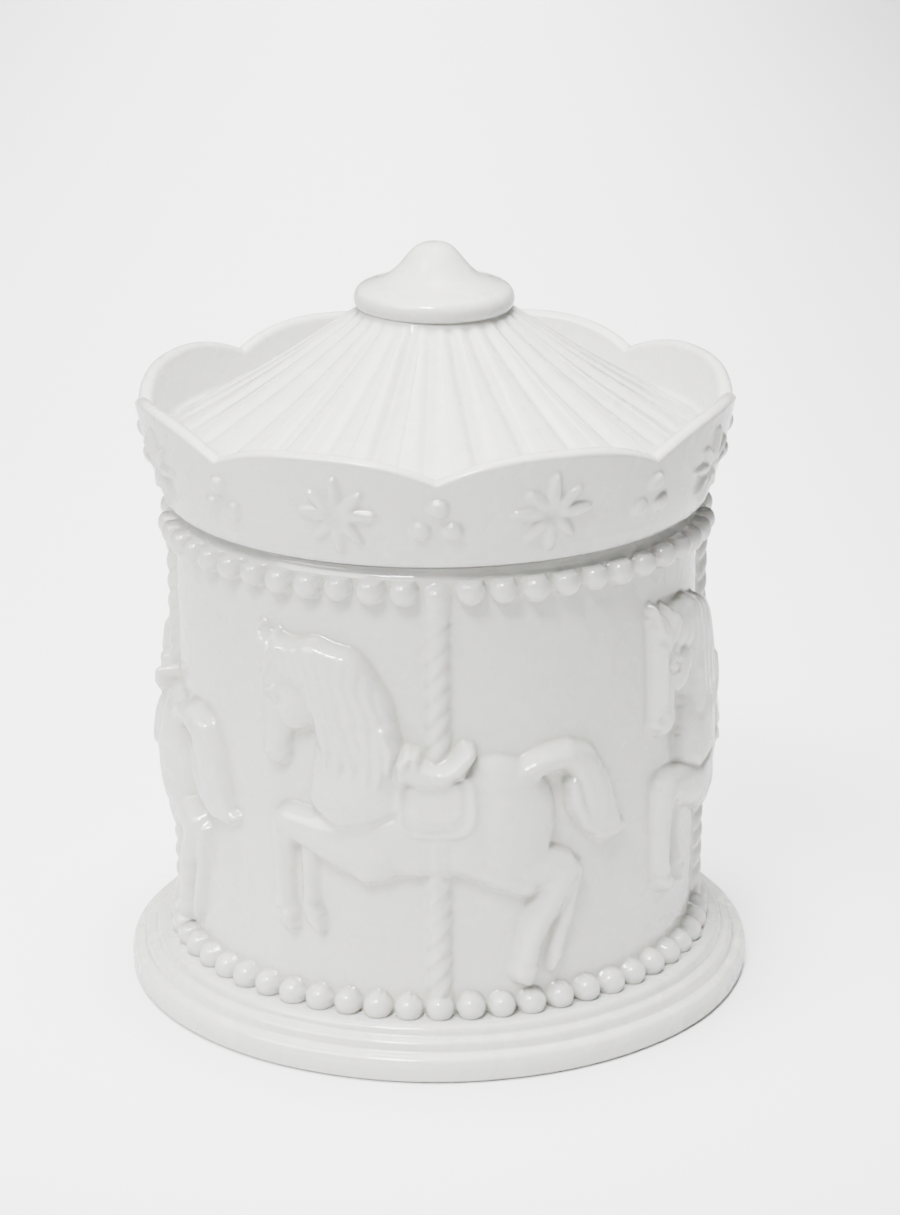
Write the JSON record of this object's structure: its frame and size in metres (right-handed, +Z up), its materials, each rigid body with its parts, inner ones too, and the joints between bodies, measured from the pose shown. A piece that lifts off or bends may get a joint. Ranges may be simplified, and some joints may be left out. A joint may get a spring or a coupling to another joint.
{
  "type": "carousel music box",
  "caption": "Free-standing white glazed ceramic carousel with relief horses, a scalloped turning canopy and a clockwork movement inside.",
  "frame": {"origin": "centre of the foot's underside", "axes": "+Z up along the carousel's axis; -Y to the front, where one horse and its pole stand; +X to the right seen from the front"},
  "size_m": [0.1314, 0.1314, 0.1558],
  "materials": {
    "glazed_ceramic": "glossy",
    "black_board": "matte",
    "brass": "satin",
    "cast_zinc": "satin",
    "nickelled_steel": "polished",
    "steel": "satin",
    "blued_steel": "satin",
    "red_fibre": "matte",
    "rubber": "matte"
  },
  "bodies": {
    "casing": {"drum_casting": "glazed_ceramic", "deck": "black_board", "deck_bush": "brass", "bedplate": "cast_zinc", "spring_housing": "nickelled_steel", "housing_screws": "steel", "mainspring": "blued_steel", "cylinder_bearings": "cast_zinc", "comb_bed": "cast_zinc", "comb": "steel", "comb_screws": "blued_steel", "governor_frame": "cast_zinc", "frame_screws": "steel", "floor_screws": "steel", "steel_washers": "steel", "fibre_washers": "red_fibre"},
    "main_gear": {"main_wheel": "brass", "clutch_spring": "steel"},
    "winder": {"winding_arbor": "steel", "winding_key": "brass", "shaft_coupling": "brass", "grub_screws": "blued_steel", "drive_rod": "steel", "turntable": "cast_zinc", "turntable_screw": "steel", "grip_ring": "rubber"},
    "canopy": {"canopy_casting": "glazed_ceramic"},
    "tune": {"cylinder": "brass", "cylinder_arbor": "steel", "cylinder_pinion": "steel", "cylinder_wheel": "brass"},
    "governor": {"governor_arbor": "steel", "governor_pinion": "steel", "worm_wheel": "brass"},
    "flyer": {"worm": "steel", "worm_spindle": "steel", "fan": "brass"}
  },
  "joints": [
    {"name": "play", "type": "hinge", "parent": "casing", "child": "main_gear", "pos_m": [0, 0, 0.04], "axis": [0, 0, 1], "continuous": true},
    {"name": "wind", "type": "hinge", "parent": "main_gear", "child": "winder", "pos_m": [0, 0, 0.03], "axis": [0, 0, 1], "continuous": true},
    {"name": "lift_off", "type": "slide", "parent": "winder", "child": "canopy", "axis": [0, 0, 1], "range_m": [0, 0.045]},
    {"name": "cylinder_turn", "type": "hinge", "parent": "casing", "child": "tune", "pos_m": [0.0285, 0, 0.03322], "axis": [1, 0, 0], "continuous": true},
    {"name": "governor_turn", "type": "hinge", "parent": "casing", "child": "governor", "pos_m": [0.0385, -0.009, 0.03322], "axis": [1, 0, 0], "continuous": true},
    {"name": "flyer_spin", "type": "hinge", "parent": "casing", "child": "flyer", "pos_m": [0.0395, -0.0165, 0.035], "axis": [0, 0, 1], "continuous": true}
  ],
  "couplings": [
    {"joint": "cylinder_turn", "follows": "play", "ratio": -4},
    {"joint": "governor_turn", "follows": "play", "ratio": 12},
    {"joint": "flyer_spin", "follows": "play", "ratio": 288}
  ]
}
